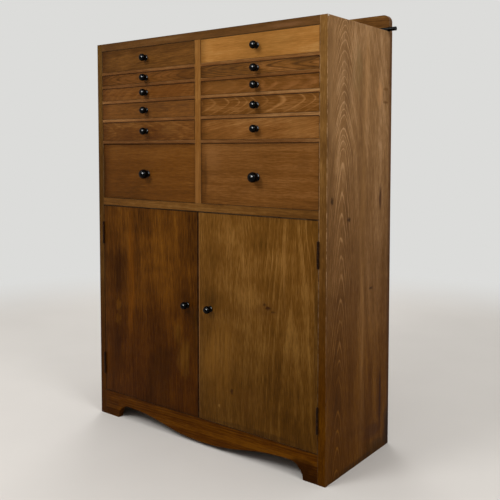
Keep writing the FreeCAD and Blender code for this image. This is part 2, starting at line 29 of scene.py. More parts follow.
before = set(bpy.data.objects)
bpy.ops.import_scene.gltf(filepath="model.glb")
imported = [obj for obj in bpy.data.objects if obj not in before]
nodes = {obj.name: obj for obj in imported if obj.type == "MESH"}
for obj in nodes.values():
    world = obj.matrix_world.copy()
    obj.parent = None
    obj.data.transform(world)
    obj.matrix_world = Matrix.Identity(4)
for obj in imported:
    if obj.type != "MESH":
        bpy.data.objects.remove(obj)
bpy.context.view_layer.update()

MM = 0.001

# Where the boards are: FACE is the plane of the front

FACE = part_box("front_apron")[0].y
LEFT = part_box("side_left")[0].x
INNER_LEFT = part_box("side_left")[1].x
INNER_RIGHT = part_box("side_right")[0].x
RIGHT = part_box("side_right")[1].x
MIDDLE = (INNER_LEFT + INNER_RIGHT) / 2


# Node trees

# The Mix node has sockets for each kind of data: these are its colours
FIRST_COLOUR = 6
SECOND_COLOUR = 7
MIXED_COLOUR = 2

NOISE_MIDDLE = 0.5
BRIGHTEST = 255


class Graph:
    """A node tree, with short calls that add nodes and link them."""

    def __init__(self, tree):
        self.tree = tree

    def add(self, kind, **settings):
        node = self.tree.nodes.new(kind)
        for name, setting in settings.items():
            setattr(node, name, setting)
        return node

    def feed(self, socket, source):
        """Link a socket to another one, or give it a value."""
        if isinstance(source, bpy.types.NodeSocket):
            self.tree.links.new(source, socket)
        else:
            socket.default_value = source

    def feed_all(self, sockets, sources):
        """Feed a node's sockets in their order."""
        for socket, source in zip(sockets, sources):
            self.feed(socket, source)

    def maths(self, operation, *sources):
        node = self.add("ShaderNodeMath", operation=operation)
        self.feed_all(node.inputs, sources)
        return node.outputs[0]

    def chain(self, operation, *sources):
        """One operation from each source to the next."""
        result = sources[0]
        for source in sources[1:]:
            result = self.maths(operation, result, source)
        return result

    def total(self, *sources):
        return self.chain("ADD", *sources)

    def product(self, *sources):
        return self.chain("MULTIPLY", *sources)

    def vector(self, operation, *sources):
        node = self.add("ShaderNodeVectorMath", operation=operation)
        self.feed_all(node.inputs, sources)
        return node.outputs[0]

    def length(self, vector):
        node = self.add("ShaderNodeVectorMath", operation="LENGTH")
        self.feed(node.inputs[0], vector)
        return node.outputs["Value"]

    def split(self, vector):
        node = self.add("ShaderNodeSeparateXYZ")
        self.feed(node.inputs[0], vector)
        return node.outputs

    def join(self, x, y, z):
        node = self.add("ShaderNodeCombineXYZ")
        self.feed_all(node.inputs, (x, y, z))
        return node.outputs[0]

    def fractal(self, dimensions, socket, place, detail, roughness):
        node = self.add("ShaderNodeTexNoise", noise_dimensions=dimensions)
        self.feed(node.inputs[socket], place)
        node.inputs["Scale"].default_value = 1.0
        node.inputs["Detail"].default_value = detail
        node.inputs["Roughness"].default_value = roughness
        return node.outputs[0]

    def noise(self, place, stretch, detail=2.0, roughness=0.5):
        """Fractal noise about its middle, with its own scale along each axis."""
        return self.fractal("3D", "Vector", self.vector("MULTIPLY", place, stretch), detail, roughness)

    def noise_line(self, place, detail=3.0, roughness=0.55):
        """Fractal noise about its middle along one number."""
        return self.fractal("1D", "W", place, detail, roughness)

    def swing(self, noise, amount):
        """Noise turned into a number about 0 that swings by an amount."""
        return self.product(self.maths("SUBTRACT", noise, NOISE_MIDDLE), amount)

    def ramp(self, source, low, high, start=0.0, end=1.0, smooth=True):
        """A number led from start at low to end at high, and held beyond them."""
        kind = "SMOOTHSTEP" if smooth else "LINEAR"
        node = self.add("ShaderNodeMapRange", interpolation_type=kind)
        settings = {"Value": source, "From Min": low, "From Max": high, "To Min": start, "To Max": end}
        for name, setting in settings.items():
            self.feed(node.inputs[name], setting)
        return node.outputs[0]

    def fall(self, source, low, high):
        """1 up to low, and 0 from high on."""
        return self.ramp(source, low, high, 1.0, 0.0)

    def blend(self, share, first, second, how="MIX"):
        """Two colours blended by a share of the second."""
        node = self.add("ShaderNodeMix", data_type="RGBA", blend_type=how)
        self.feed(node.inputs["Factor"], share)
        self.feed(node.inputs[FIRST_COLOUR], first)
        self.feed(node.inputs[SECOND_COLOUR], second)
        return node.outputs[MIXED_COLOUR]

    def mix_shaders(self, share, first, second):
        node = self.add("ShaderNodeMixShader")
        self.feed_all(node.inputs, (share, first, second))
        return node.outputs[0]


def shade(code):
    """A linear colour from its usual code, such as #8040c0."""
    channels = [int(code[start:start + 2], 16) / BRIGHTEST for start in (1, 3, 5)]
    return (*Color(channels).from_srgb_to_scene_linear(), 1.0)


def new_group(name, inputs, outputs):
    """An empty node group with named sockets, and what its two end nodes give and take."""
    group = bpy.data.node_groups.new(name, "ShaderNodeTree")
    for kind, sockets in (("INPUT", inputs), ("OUTPUT", outputs)):
        for socket, value_kind in sockets.items():
            group.interface.new_socket(socket, in_out=kind, socket_type=f"NodeSocket{value_kind}")
    graph = Graph(group)
    given = graph.add("NodeGroupInput").outputs
    end = graph.add("NodeGroupOutput").inputs
    return graph, given, end


def use_group(graph, group, inputs):
    node = graph.add("ShaderNodeGroup", node_tree=group)
    for name, source in inputs.items():
        graph.feed(node.inputs[name], source)
    return node.outputs


def new_material(name):
    """A material with its graph, its shader and the place of the point that is shaded."""
    material = bpy.data.materials.new(name)
    material.use_nodes = True
    graph = Graph(material.node_tree)
    surface = graph.tree.nodes["Principled BSDF"]
    place = graph.add("ShaderNodeTexCoord").outputs["Object"]
    return material, graph, surface, place


# Timber: a board cut from a trunk whose rings are long cones

# What the figure takes as it is from a board's look
FIGURE_VALUES = (
    "seed", "taper", "wander", "ripple", "rings", "bands", "lines", "line_width", "column",
    "streaks", "grain", "flecks", "patches", "figure", "fibres", "pores",
)


def socket_name(value):
    return value.replace("_", " ").capitalize()


TIMBER_INPUTS = {
    "Board": "Vector",
    **{socket_name(value): "Float" for value in FIGURE_VALUES},
    **dict.fromkeys(("Heart across", "Heart depth", "Bend", "Bend at", "Warp"), "Float"),
    **dict.fromkeys(("Dark", "Mid", "Pale"), "Color"),
}
TIMBER_OUTPUTS = {"Colour": "Color", "Tone": "Float", "Height": "Float"}

# Noises: how often they vary in a metre along the board and across it, and
# their detail and roughness
TIMBER_NOISES = {
    "Wander": (1.4, 5.0, 2.0, 0.5),
    "Ripple": (20.0, 55.0, 2.0, 0.5),
    "Streaks": (1.6, 24.0, 2.0, 0.5),
    "Grain": (13.0, 190.0, 3.0, 0.6),
    "Flecks": (40.0, 380.0, 1.0, 0.5),
    "Patches": (2.4, 7.0, 2.0, 0.5),
    "Figure": (15.0, 6.0, 1.0, 0.5),
    "Fibres": (10.0, 620.0, 2.0, 0.7),
    "Fading": (9.0, 38.0, 2.0, 0.5),
    "Pores": (85.0, 2300.0, 0.0, 0.5),
}
SEED_STEP = (7.31, 3.17, 5.73)

# Broad bands, and how uneven the rings are
BAND_PACE = 0.45
JITTER_PACE = 0.3
JITTER_START = 40.0
JITTER_DETAIL = 1.0
JITTER_RINGS = 1.6

# The line in each ring, as shares of the ring, and where the lines fade out
LINE_CREST_SHARE = 0.3
LINE_DROP_SHARE = 0.9
LINE_MEAN = 0.2
FADING_RAMP = (0.35, 0.65, 0.45, 1.0)
COLUMN_CORE_SHARE = 0.4

MIDDLE_TONE = 0.5
PORE_RAMP = (0.6, 0.72)
RELIEF_SHARES = {"fibres": 0.35, "streaks": 0.25, "line": 0.1, "pores": -0.6}


def count_rings(graph, given, noises):
    """How far a point is from the trunk's heart in rings, and how far aside of it."""
    along, across, depth = graph.split(given["Board"])
    from_bend = graph.maths("SUBTRACT", along, given["Bend at"])
    bend = graph.product(from_bend, from_bend, given["Bend"])
    wander = graph.swing(noises["Wander"], given["Wander"])
    aside = graph.total(graph.maths("SUBTRACT", across, given["Heart across"]), wander, bend)
    below = graph.maths("SUBTRACT", depth, given["Heart depth"])
    apart = graph.maths("SQRT", graph.total(graph.product(aside, aside), graph.product(below, below)))
    climb = graph.product(along, given["Taper"])
    ripple = graph.swing(noises["Ripple"], given["Ripple"])
    reach = graph.total(apart, climb, ripple, given["Warp"])
    return graph.product(reach, given["Rings"]), aside


def draw_line(graph, given, count):
    """1 along the line of each ring, and 0 between the lines."""
    jitter_place = graph.total(graph.product(count, JITTER_PACE), given["Seed"], JITTER_START)
    jitter = graph.swing(graph.noise_line(jitter_place, JITTER_DETAIL), JITTER_RINGS)
    turn = graph.maths("FRACT", graph.total(count, jitter))
    start = graph.maths("SUBTRACT", 1.0, given["Line width"])
    crest = graph.maths("MULTIPLY_ADD", given["Line width"], -LINE_CREST_SHARE, 1.0)
    return graph.product(graph.ramp(turn, start, crest), graph.fall(turn, LINE_DROP_SHARE, 1.0))


def make_timber_group():
    """A board's colour, tone and relief, from a place along, across and through it."""
    graph, given, end = new_group("Timber", TIMBER_INPUTS, TIMBER_OUTPUTS)
    offset = graph.vector("SCALE", SEED_STEP)
    graph.feed(offset.node.inputs["Scale"], given["Seed"])
    place = graph.vector("ADD", given["Board"], offset)
    noises = {
        name: graph.noise(place, (along, across, across), detail, roughness)
        for name, (along, across, detail, roughness) in TIMBER_NOISES.items()
    }

    count, aside = count_rings(graph, given, noises)
    bands = graph.noise_line(graph.total(graph.product(count, BAND_PACE), given["Seed"]))
    line = draw_line(graph, given, count)
    off_heart = graph.maths("DIVIDE", graph.maths("ABSOLUTE", aside), given["Column"])
    column = graph.fall(off_heart, COLUMN_CORE_SHARE, 1.0)
    faded = graph.product(column, graph.ramp(noises["Fading"], *FADING_RAMP))
    ringed = graph.product(graph.maths("SUBTRACT", line, LINE_MEAN), given["Lines"])

    tone = graph.total(
        MIDDLE_TONE,
        graph.swing(bands, given["Bands"]),
        graph.product(ringed, faded),
        *(
            graph.swing(noises[name], given[name])
            for name in ("Streaks", "Grain", "Flecks", "Patches", "Figure", "Fibres")
        ),
    )
    lower = graph.blend(graph.ramp(tone, 0.0, MIDDLE_TONE, smooth=False), given["Dark"], given["Mid"])
    colour = graph.blend(graph.ramp(tone, MIDDLE_TONE, 1.0, smooth=False), lower, given["Pale"])
    pores = graph.ramp(noises["Pores"], *PORE_RAMP)
    pored = graph.blend(graph.product(pores, given["Pores"]), colour, given["Dark"])
    relief = graph.total(
        graph.product(noises["Fibres"], RELIEF_SHARES["fibres"]),
        graph.product(noises["Streaks"], RELIEF_SHARES["streaks"]),
        graph.product(line, RELIEF_SHARES["line"]),
        graph.product(pores, RELIEF_SHARES["pores"]),
    )
    graph.feed(end["Colour"], pored)
    graph.feed(end["Tone"], tone)
    graph.feed(end["Height"], relief)
    return graph.tree


# Wear, spots and tinted areas

EDGE_NOISE = ((60.0, 60.0, 60.0), 3.0, 0.65)

# How far each mark reaches from an edge, in wear widths, and how the noise breaks it up
# Grime and the wider border darken the edges with grime and painted shade; worn rubs them pale
EDGE_MARKS = {
    "Worn": (1.0, (0.38, 0.62, 0.15, 1.0)),
    "Grime_and_shade": (1.5, (0.3, 0.6, 0.55, 1.0)),
    "Border": (11.0, (0.35, 0.6, 0.4, 1.0)),
}

SPOT_NOISE_SCALE = (2.2, 2.2, 2.2)
SPOT_RAGGED = 1.1
SPOT_CORE_SHARE = 0.25
AREA_BORDER = 1.5 * MM


def gaps_to_box(graph, given):
    """How far a place is inside the lowest and the highest faces of a box, on each axis."""
    low_gaps = graph.split(graph.vector("SUBTRACT", given["Place"], given["Low"]))
    high_gaps = graph.split(graph.vector("SUBTRACT", given["High"], given["Place"]))
    return low_gaps, high_gaps


def make_edge_group():
    """Wear, grime and painted shade near the edges of a box-shaped board."""
    graph, given, end = new_group(
        "Edge wear",
        {"Place": "Vector", "Low": "Vector", "High": "Vector", "Width": "Float"},
        dict.fromkeys(EDGE_MARKS, "Float"),
    )
    x, y, z = [graph.maths("MINIMUM", low, high) for low, high in zip(*gaps_to_box(graph, given))]
    nearer = graph.maths("MINIMUM", x, y)
    farther = graph.maths("MAXIMUM", x, y)
    from_edge = graph.maths("MAXIMUM", nearer, graph.maths("MINIMUM", farther, z))
    rough = graph.noise(given["Place"], *EDGE_NOISE)
    for mark, (reach, breaks) in EDGE_MARKS.items():
        near = graph.fall(from_edge, 0.0, graph.product(given["Width"], reach))
        graph.feed(end[mark], graph.product(near, graph.ramp(rough, *breaks)))
    return graph.tree


def make_spot_group():
    """A soft ellipsoid about a point, with a ragged rim."""
    graph, given, end = new_group(
        "Spot", {"Place": "Vector", "Centre": "Vector", "Size": "Vector"}, {"Share": "Float"})
    apart = graph.vector("DIVIDE", graph.vector("SUBTRACT", given["Place"], given["Centre"]), given["Size"])
    ragged = graph.noise(graph.vector("ADD", apart, given["Centre"]), SPOT_NOISE_SCALE)
    reach = graph.total(graph.length(apart), graph.swing(ragged, SPOT_RAGGED))
    graph.feed(end["Share"], graph.fall(reach, SPOT_CORE_SHARE, 1.0))
    return graph.tree


def make_area_group():
    """1 inside a box, falling to 0 at its faces over a soft border."""
    graph, given, end = new_group(
        "Area", {"Place": "Vector", "Low": "Vector", "High": "Vector"}, {"Share": "Float"})
    low_gaps, high_gaps = gaps_to_box(graph, given)
    nearest = graph.chain("MINIMUM", *low_gaps, *high_gaps)
    graph.feed(end["Share"], graph.ramp(nearest, 0.0, AREA_BORDER))
    return graph.tree


TIMBER = make_timber_group()
EDGES = make_edge_group()
SPOT = make_spot_group()
AREA = make_area_group()


# The material of a board

PLAIN_BOARD = {
    # The trunk: where its heart lies across the board and through it, how its
    # rings run along the board, how many there are in a metre, and between
    # which places on an axis they climb
    "seed": 0.0,
    "heart": (0.6, -0.02),
    "taper": 0.02,
    "bend": (0.0, 0.0),
    "wander": 0.03,
    "ripple": 0.0015,
    "rings": 160.0,
    "climbs": (),
    "tilt": 0.0,
    # How strongly each part of the figure shows: lines below 0 are dark
    "bands": 0.35,
    "lines": 0.15,
    "line_width": 0.5,
    "column": 9.0,
    "streaks": 1.0,
    "grain": 0.6,
    "flecks": 0.8,
    "patches": 1.3,
    "figure": 0.3,
    "fibres": 0.25,
    "pores": 0.5,
    # Wear along the edges, with its width and the heights at which it starts
    # and is full, and marks
    "wear": 0.06,
    "edge": 1.6 * MM,
    "worn_from": None,
    # Grime and painted shade along the edges, and a wider border of the same
    "grime": 0.6,
    "border": 0.12,
    "fades": (),
    "spots": (),
    "areas": (),
    # The surface, with its roughness where the wood is dark and where it is pale
    "roughness": (0.5, 0.38),
    "gloss": 0.08,
    "relief": 0.35,
}

# Grain breaks up the marks that are weaker than a solid one
MARK_NOISE = ((5.0, 75.0, 75.0), 3.0)
MARK_RAMP = (0.35, 0.6, 0.3, 1.0)
SOLID_MARK = 0.65

# What shows of the wear below the height at which it starts
LOW_WEAR_SHARE = 0.12

WORN_WOOD = shade("#a98560")
# The tone of the grime and painted shade along the edges
GRIME_AND_SHADE = shade("#1d0f06")
GLOSS_TINT = shade("#d8a66c")
GLOSS_TONES = (0.2, 0.8)
RELIEF_DEPTH = 0.4 * MM
UNTINTED = "#ffffff"


def tilt_board(graph, board, degrees):
    """Turn the grain in the board's face."""
    node = graph.add("ShaderNodeVectorRotate", rotation_type="Z_AXIS")
    graph.feed(node.inputs["Vector"], board)
    node.inputs["Angle"].default_value = math.radians(degrees)
    return node.outputs[0]


def make_marks(graph, place, board, spots):
    """Each spot's share and colour, and how far the spots push the rings aside."""
    marks = []
    warp = 0.0
    streaky = graph.ramp(graph.noise(board, *MARK_NOISE), *MARK_RAMP)
    for centre, size, colour, strength, push in spots:
        share = use_group(graph, SPOT, {"Place": place, "Centre": centre, "Size": size})["Share"]
        if strength < SOLID_MARK:
            share = graph.product(share, streaky)
        marks.append((graph.product(share, strength), shade(colour)))
        if push:
            warp = graph.total(warp, graph.product(share, push))
    return marks, warp


def tint_wood(graph, place, axes, colour, look, marks):
    """Lead a colour through the fades, the spots and the tinted areas of a look."""
    for axis, low, high, low_tint, high_tint in look["fades"]:
        fading = graph.blend(graph.ramp(axes[axis], low, high), shade(low_tint), shade(high_tint))
        colour = graph.blend(1.0, colour, fading, "MULTIPLY")
    for share, mark in marks:
        colour = graph.blend(share, colour, mark)
    for low, high, tint in look["areas"]:
        share = use_group(graph, AREA, {"Place": place, "Low": low, "High": high})["Share"]
        colour = graph.blend(share, colour, shade(tint), "MULTIPLY")
    return colour


def wear_edges(graph, place, height, colour, look, box):
    """Lay grime and painted shade along a board's edges and rub them to pale wood."""
    low, high = box
    edges = use_group(graph, EDGES, {
        "Place": place, "Low": tuple(low), "High": tuple(high), "Width": look["edge"],
    })
    wear = look["wear"]
    if look["worn_from"]:
        start, full = look["worn_from"]
        wear = graph.ramp(height, start, full, LOW_WEAR_SHARE * wear, wear)
    for mark, strength, tone in (
        ("Border", look["border"], GRIME_AND_SHADE), ("Grime_and_shade", look["grime"], GRIME_AND_SHADE), ("Worn", wear, WORN_WOOD),
    ):
        colour = graph.blend(graph.product(edges[mark], strength), colour, tone)
    return colour


def timber(name, cut, colours, box=None, **changes):
    """A material for one board.

    cut names the axes that run along the board, across its face and through
    it, colours are its dark, middle and pale tones, and box is a CAD node's
    lowest and highest corner, at whose edges the board is worn.
    """
    look = {**PLAIN_BOARD, **changes}
    material, graph, surface, place = new_material(name)
    axes = dict(zip("xyz", graph.split(place)))
    board = graph.join(*(axes[axis] for axis in cut))
    if look["tilt"]:
        board = tilt_board(graph, board, look["tilt"])
    marks = []
    warp = 0.0
    if look["spots"]:
        marks, warp = make_marks(graph, place, board, look["spots"])
    for axis, low, high, climb in look["climbs"]:
        warp = graph.total(warp, graph.ramp(axes[axis], low, high, 0.0, climb, smooth=False))

    dark, mid, pale = (shade(colour) for colour in colours)
    heart_across, heart_depth = look["heart"]
    bend, bend_at = look["bend"]
    wood = use_group(graph, TIMBER, {
        "Board": board, "Heart across": heart_across, "Heart depth": heart_depth,
        "Bend": bend, "Bend at": bend_at, "Warp": warp, "Dark": dark, "Mid": mid, "Pale": pale,
        **{socket_name(value): look[value] for value in FIGURE_VALUES},
    })
    colour = tint_wood(graph, place, axes, wood["Colour"], look, marks)
    if box:
        colour = wear_edges(graph, place, axes["z"], colour, look, box)

    graph.feed(surface.inputs["Base Color"], colour)
    graph.feed(surface.inputs["Roughness"], graph.ramp(wood["Tone"], *GLOSS_TONES, *look["roughness"]))
    surface.inputs["Specular IOR Level"].default_value = look["gloss"]
    surface.inputs["Specular Tint"].default_value = GLOSS_TINT
    bump = graph.add("ShaderNodeBump")
    bump.inputs["Strength"].default_value = look["relief"]
    bump.inputs["Distance"].default_value = RELIEF_DEPTH
    graph.feed(bump.inputs["Height"], wood["Height"])
    graph.feed(surface.inputs["Normal"], bump.outputs[0])
    return material


def dress(node, material):
    """Give a CAD node's every slot one material."""
    slots = nodes[node].data.materials
    slots.clear()
    slots.append(material)


def dress_board(node, cut, colours, **look):
    """Give a CAD node timber of its own, worn at the node's edges."""
    dress(node, timber(f"{node}_wood", cut, colours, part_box(node), **look))


# Places on the front and on the right side, in millimetres from their lowest corner

AXIS_STARTS = {"x": LEFT, "y": FACE, "z": 0.0}
FRONT_EDGE_MM = (0.5, 2.5)

# How far a mark reaches through the front, and into the side
BOTH_WAYS = 100.0 * MM
SIDE_MARK_DEPTH = 4.0 * MM


def fade(axis, low_mm, high_mm, low_tint, high_tint=UNTINTED):
    """A tint that turns into another one along an axis."""
    start = AXIS_STARTS[axis]
    return axis, start + low_mm * MM, start + high_mm * MM, low_tint, high_tint


def front_edge(tint):
    """A tint on the front edge of a board that runs back from the front."""
    return fade("y", *FRONT_EDGE_MM, tint)


def at(x_mm, z_mm, width_mm, height_mm, colour, strength, push_mm=0.0):
    """A mark on the front, which may push the rings aside."""
    centre = (LEFT + x_mm * MM, FACE, z_mm * MM)
    size = (width_mm / 2 * MM, BOTH_WAYS, height_mm / 2 * MM)
    return centre, size, colour, strength, push_mm * MM


def on_side(y_mm, z_mm, width_mm, height_mm, colour, strength, push_mm=0.0):
    """A mark on the right side, which may push the rings aside."""
    centre = (RIGHT, FACE + y_mm * MM, z_mm * MM)
    size = (SIDE_MARK_DEPTH, width_mm / 2 * MM, height_mm / 2 * MM)
    return centre, size, colour, strength, push_mm * MM


def across_front(left, right, low, high, tint):
    """A tint over an upright rectangle of the front, given in metres, with a soft border."""
    return (left, FACE - BOTH_WAYS, low), (right, FACE + BOTH_WAYS, high), tint


def over(left_mm, right_mm, low_mm, high_mm, tint):
    """The same, in millimetres from the front's lowest corner."""
    return across_front(LEFT + left_mm * MM, LEFT + right_mm * MM, low_mm * MM, high_mm * MM, tint)


# Boards of the case

dress_board(
    "side_right", "zyx", ("#634427", "#87623b", "#b58d63"),
    seed=3.1, heart=(FACE + 0.058, RIGHT - 0.022), taper=0.15, wander=0.022, ripple=0.005, rings=110.0,
    climbs=(("z", 0.93, 1.3, 0.09),), tilt=-1.56,
    bands=0.45, lines=0.75, line_width=0.3, column=0.075, streaks=0.8, grain=0.55, patches=0.9,
    fibres=0.4, wear=1.0, edge=2.2 * MM, worn_from=(0.2, 0.75), grime=0.1, gloss=0.03,
    fades=(
        # Painted shade: the side darkens towards the floor
        fade("z", 200, 1100, "#9e8124"),
        front_edge("#eae4c2"),
        fade("y", 355, 372, UNTINTED, "#b4a698"),
    ),
    spots=(
        on_side(28, 1120, 60, 500, "#916d47", 0.6),
        on_side(203, 560, 44, 1500, "#a07442", 0.28),
        on_side(222, 1150, 40, 400, "#a87c4c", 0.4),
        on_side(27, 795, 20, 36, "#26150a", 0.8, 3),
        on_side(120, 737, 26, 20, "#26150a", 0.8, 3),
        on_side(311, 790, 22, 120, "#3f220c", 0.9),
        on_side(340, 1122, 44, 13, "#66431c", 0.75, 3),
        on_side(340, 1082, 46, 12, "#5c3a16", 0.8, 3),
        on_side(303, 1106, 46, 110, "#c08a55", 0.5),
        on_side(256, 520, 34, 12, "#2a170a", 0.75, 2),
        on_side(321, 165, 22, 250, "#2c1205", 0.9),
        on_side(275, 74, 150, 64, "#391b06", 0.66),
        on_side(300, 20, 200, 54, "#33200a", 0.66),
        # Painted shade: darker in the lower rear corner and along the foot of the side
        on_side(368, 55, 60, 170, "#180d07", 0.75),
        on_side(190, 6, 420, 26, "#1c1008", 0.64),
        on_side(165, 1165, 70, 200, "#74603c", 0.5),
        on_side(98, 1130, 110, 330, "#6c4d2f", 0.45),
        on_side(345, 1100, 70, 70, "#6b4a26", 0.45),
        on_side(3, 1297, 9, 7, "#d8d2c6", 0.9),
    ))
dress_board(
    "side_left", "zyx", ("#5f4024", "#805c36", "#a98359"),
    seed=8.4, heart=(0.02, LEFT - 0.03), taper=0.12, ripple=0.005, rings=110.0,
    bands=0.45, lines=0.6, line_width=0.3, column=0.12, streaks=0.8, grain=0.55, patches=0.9, fibres=0.4,
    wear=0.3, edge=2.0 * MM, worn_from=(0.4, 0.85), gloss=0.03,
    # Painted shade: the two upward fades darken the side towards the floor
    fades=(fade("z", 100, 1200, "#bca17e"), fade("z", 100, 500, "#fff2bc"), front_edge("#b2ab82")))
dress_board(
    "top_board", "xyz", ("#3a2109", "#503213", "#603f1e"),
    seed=1.7, streaks=1.6, grain=1.0, patches=1.6,
    spots=(
        at(60, 1286, 130, 40, "#38210c", 0.5),
        at(340, 1290, 220, 14, "#7a5a34", 0.4),
        at(560, 1284, 120, 12, "#3c240e", 0.5),
        at(800, 1286, 170, 16, "#7d5638", 0.45),
    ))
dress_board("gallery_board", "xzy", ("#4a2c10", "#704a22", "#8f6a38"), seed=5.2, bands=0.9, wear=0.4)
dress_board(
    "centre_partition", "zxy", ("#613d1a", "#794d1f", "#926633"),
    seed=2.9, streaks=1.1, grime=0.45,
    spots=(at(468, 840, 90, 320, "#8d6030", 0.6),))
dress_board(
    "middle_board", "xzy", ("#4e3012", "#66421a", "#7f592c"),
    seed=6.6, streaks=1.9, grain=1.2, grime=0.45)
dress_board(
    "front_apron", "xzy", ("#381900", "#492501", "#623905"),
    seed=9.3, heart=(0.12, FACE - 0.02), taper=0.03, rings=120.0,
    bands=0.9, lines=0.4, streaks=1.3, grain=1.4, gloss=0.04,
    spots=(
        at(868, 26, 150, 90, "#230d00", 0.85),
        at(55, 26, 130, 90, "#240f00", 0.64),
        at(470, 70, 500, 22, "#663c05", 0.3),
    ))

# Rails: the tint of each, from the top one down, in the left and the right column

RAIL_TINTS = (
    ("#e6e0d8", "#e2d8c8"),
    ("#d6ccc0", "#d8ccb8"),
    ("#e8e0d8", UNTINTED),
    ("#eae2da", UNTINTED),
    ("#d6cec6", "#d6cec6"),
)
RAIL_THICK = 10.0 * MM
RAIL_GAP = 0.3 * MM
RAIL_SHADOW = "#a08c80"
SHADOW_BELOW = 1.0 * MM
SHADOW_ABOVE = 2.5 * MM


def rail_areas():
    """Each rail's tints, and the shadow along its lower edge."""
    for row, (left_tint, right_tint) in enumerate(RAIL_TINTS, start=1):
        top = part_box(f"left_drawer_{row}_front")[0].z - RAIL_GAP
        low = top - RAIL_THICK
        yield across_front(INNER_LEFT, MIDDLE, low, top, left_tint)
        yield across_front(MIDDLE, INNER_RIGHT, low, top, right_tint)
        yield across_front(INNER_LEFT, INNER_RIGHT, low - SHADOW_BELOW, low + SHADOW_ABOVE, RAIL_SHADOW)


dress("drawer_rails", timber(
    "rail_wood", "xzy", ("#5b3a1b", "#7b532d", "#9c7448"), seed=4.4, streaks=1.2, areas=rail_areas()))

# Boards inside the case

INNER = ("#4d3520", "#6d4d2f", "#876543")

level_wood = timber("inner_level_wood", "xyz", INNER, seed=7.1)
for node in ("cupboard_floor", "cupboard_shelf", "drawer_stops", "door_stop"):
    dress(node, level_wood)
run_wood = timber("runner_wood", "yxz", INNER, seed=5.9)
for node in ("shelf_battens", "drawer_runners"):
    dress(node, run_wood)
dress("back_panel", timber("back_panel_wood", "zxy", INNER, seed=7.7, lines=0.4, rings=60.0))

# Doors

dress_board(
    "left_door", "zxy", ("#2e1703", "#532f09", "#734711"),
    seed=17.9, heart=(-0.62, FACE - 0.03), taper=0.05, bend=(0.12, 0.3), rings=30.0,
    bands=0.25, lines=0.12, streaks=0.6, grain=0.85, patches=1.2, figure=0.6, wear=0.2, gloss=0.05,
    # Painted shade: darker towards the floor, and darker along the centre gap and below the middle board
    fades=(fade("z", 200, 740, "#c0ad72"),),
    areas=(over(462, 467.5, 87, 744, "#7a6858"), over(27, 467, 740.5, 745, "#5c4c40")),
    spots=(
        at(80, 415, 120, 1000, "#301501", 0.5),
        at(102, 520, 80, 220, "#251001", 0.55, 4),
        at(92, 245, 54, 190, "#210c01", 0.55),
        at(97, 400, 40, 60, "#6e440c", 0.5, 3),
        at(95, 352, 46, 54, "#673f07", 0.4),
        at(34, 415, 24, 900, "#1f0d01", 0.5),
        at(160, 500, 50, 560, "#7e4707", 0.4),
        at(300, 200, 180, 320, "#2f1701", 0.5),
        at(405, 275, 80, 170, "#6e4914", 0.5, 5),
        at(375, 350, 60, 90, "#6e4912", 0.4),
        at(385, 470, 110, 90, "#301601", 0.4),
        at(452, 350, 30, 260, "#3c2502", 0.45),
    ))
dress_board(
    "right_door", "zxy", ("#442907", "#694417", "#8c6430"),
    seed=14.2, heart=(0.345, FACE - 0.03), taper=0.07, wander=0.08, ripple=0.006, rings=48.0,
    bands=0.25, lines=0.33, line_width=0.45, column=0.14, streaks=0.3, grain=0.7, patches=1.25,
    figure=0.5, wear=0.35,
    # Painted shade: darker towards the floor, and darker below the middle board
    fades=(fade("z", 120, 740, "#c0ba98"),),
    areas=(over(469, 909, 740.5, 745, "#5c4c40"),),
    spots=(
        at(740, 470, 150, 90, "#472808", 0.45, 4),
        at(602, 201, 16, 24, "#2b1406", 0.9, 4),
        at(552, 146, 12, 14, "#7d5b2d", 0.66),
        at(525, 478, 90, 90, "#3e2609", 0.5),
        at(640, 460, 80, 70, "#4a2b08", 0.35),
        at(796, 600, 14, 300, "#8d6431", 0.5),
        at(836, 260, 16, 220, "#7d5524", 0.5, 4),
        at(670, 180, 140, 130, "#4c2d0b", 0.4),
        at(540, 620, 70, 220, "#50310c", 0.35),
        at(555, 300, 190, 340, "#7a511b", 0.5),
        at(903, 415, 16, 700, "#301d09", 0.45),
        at(700, 95, 460, 30, "#291605", 0.5),
        # Painted highlight: a pale line where the door's meeting edge catches the light
        at(471, 415, 6, 900, "#956739", 0.66),
        at(738, 476, 28, 19, "#2b1406", 0.85, 3),
        at(757, 467, 22, 11, "#321a08", 0.66, 3),
        at(726, 485, 15, 15, "#2d1707", 0.75, 2),
    ))

# Drawers

